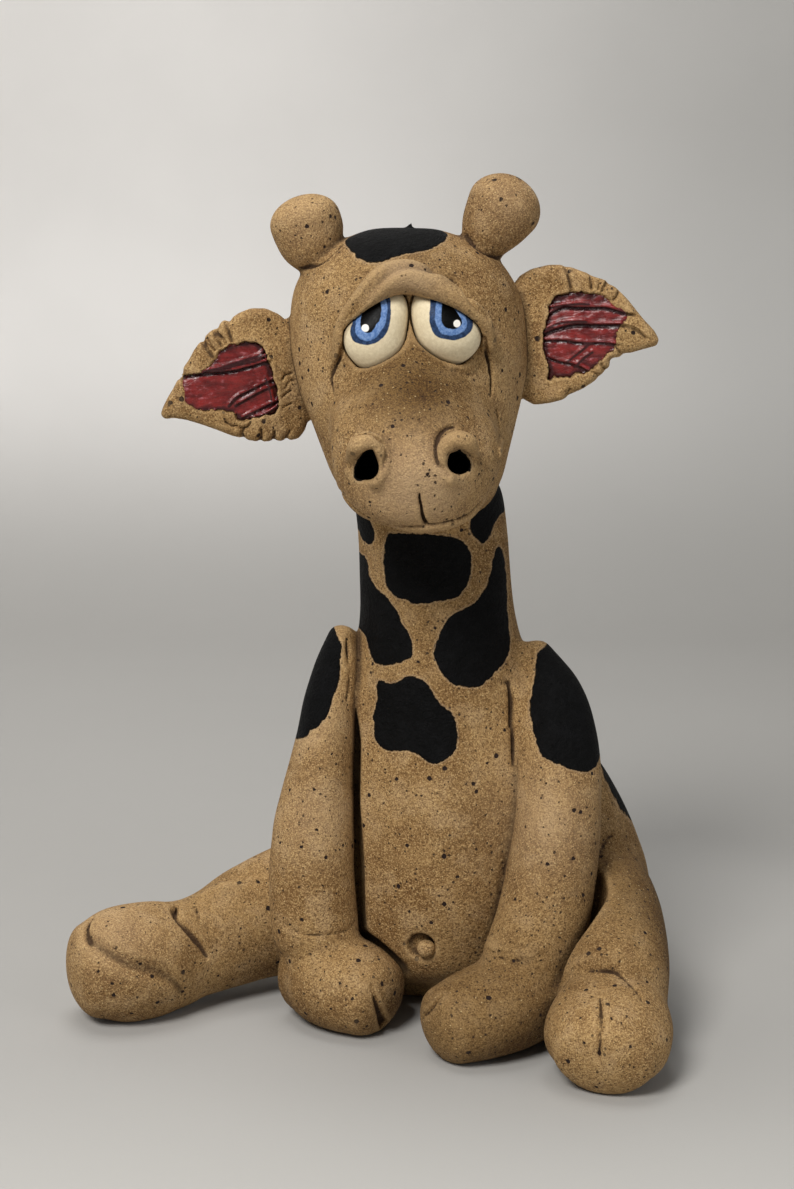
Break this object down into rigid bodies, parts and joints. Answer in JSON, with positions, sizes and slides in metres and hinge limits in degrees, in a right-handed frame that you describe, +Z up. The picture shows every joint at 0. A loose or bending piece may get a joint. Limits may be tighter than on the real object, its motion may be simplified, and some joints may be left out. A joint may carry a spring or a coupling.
{
  "type": "seated giraffe figurine",
  "caption": "Hand-built speckled stoneware giraffe sitting with its legs splayed, sad blue eyes, black slip patches and red-glazed ears.",
  "frame": {"origin": "middle of the flat seat, on the surface it rests on", "axes": "+Z up, the face and belly look along -Y, the giraffe's own left is +X"},
  "size_m": [0.1424, 0.1054, 0.1983],
  "materials": {
    "clay": "matte, unglazed, iron-speckled stoneware",
    "black_slip": "matte black slip",
    "eye_glaze": "glossy cream glaze with painted blue irises",
    "ear_glaze": "glossy red glaze in the ear cups"
  },
  "bodies": {
    "root": {"torso_shell": "clay", "head_shell": "clay", "muzzle": "clay", "lower_lip": "clay", "brow_fold": "clay", "left_eye": "eye_glaze", "right_eye": "eye_glaze", "left_nostril_rim": "clay", "right_nostril_rim": "clay", "left_ear": "clay", "right_ear": "clay", "left_horn": "clay", "right_horn": "clay", "left_front_leg": "clay", "right_front_leg": "clay", "left_front_hoof": "clay", "right_front_hoof": "clay", "left_hind_leg": "clay", "right_hind_leg": "clay", "left_hind_hoof": "clay", "right_hind_hoof": "clay", "navel_bead": "clay", "tail": "clay", "tail_tuft": "black_slip"}
  },
  "joints": []
}
